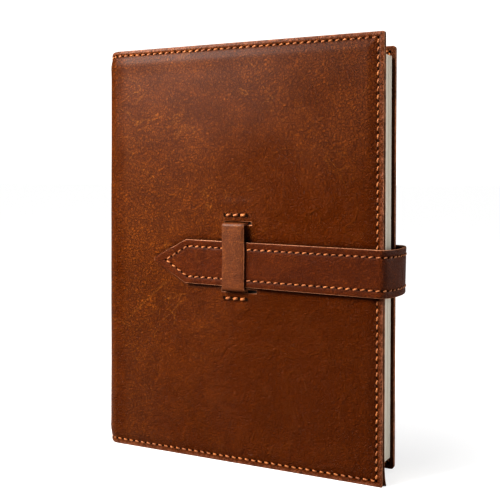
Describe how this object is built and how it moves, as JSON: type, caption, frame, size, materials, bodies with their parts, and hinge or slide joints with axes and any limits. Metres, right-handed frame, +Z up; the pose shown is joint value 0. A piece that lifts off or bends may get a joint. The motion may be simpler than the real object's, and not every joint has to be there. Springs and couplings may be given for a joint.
{
  "type": "leather notebook",
  "caption": "Upright refillable notebook in a sewn leather cover, with a pointed strap that wraps round the fore-edge and is held by a keeper on the front cover.",
  "frame": {"origin": "on the surface that the notebook stands on, below the middle of its overall box, strap bend and keeper included", "axes": "+Z up along the spine and the pages, +X from the spine towards the fore-edge, -Y out of the front cover"},
  "size_m": [0.1744, 0.0396, 0.225],
  "materials": {
    "cover_leather": "oiled pull-up leather, satin, mottled brown",
    "pocket_leather": "dark brown lining leather, matt",
    "strap_leather": "smooth dark red-brown leather, satin",
    "paper": "uncoated ivory paper, cut edges",
    "card": "dark covered card, matt",
    "spine_cloth": "dark bookbinding cloth",
    "thread": "waxed tan thread"
  },
  "bodies": {
    "book": {"page_block": "paper", "refill_spine": "spine_cloth", "spine_leather": "cover_leather", "spine_stitching": "thread"},
    "front_cover": {"front_leather": "cover_leather", "front_pocket": "pocket_leather", "front_card": "card", "front_stitching": "thread", "keeper_loop": "strap_leather", "keeper_stitching": "thread"},
    "back_cover": {"back_leather": "cover_leather", "back_pocket": "pocket_leather", "back_card": "card", "back_stitching": "thread", "strap_base": "strap_leather", "strap_base_stitching": "thread"},
    "strap": {"strap": "strap_leather", "strap_stitching": "thread"}
  },
  "joints": [
    {"name": "front_cover_fold", "type": "hinge", "parent": "book", "child": "front_cover", "pos_m": [-0.07681, -0.01579, 0.1125], "axis": [0, 0, -1], "range_deg": [0, 170], "deforming": ["strap", "strap_stitching"]},
    {"name": "back_cover_fold", "type": "hinge", "parent": "book", "child": "back_cover", "pos_m": [-0.07681, 0.01721, 0.1125], "axis": [0, 0, 1], "range_deg": [0, 170], "deforming": ["strap", "strap_stitching"]},
    {"name": "strap_swing", "type": "hinge", "parent": "back_cover", "child": "strap", "pos_m": [0.08499, 0.00066, 0.1055], "axis": [0.0157, 0, 0.9999], "range_deg": [0, 170], "deforming": ["strap", "strap_stitching"]}
  ]
}
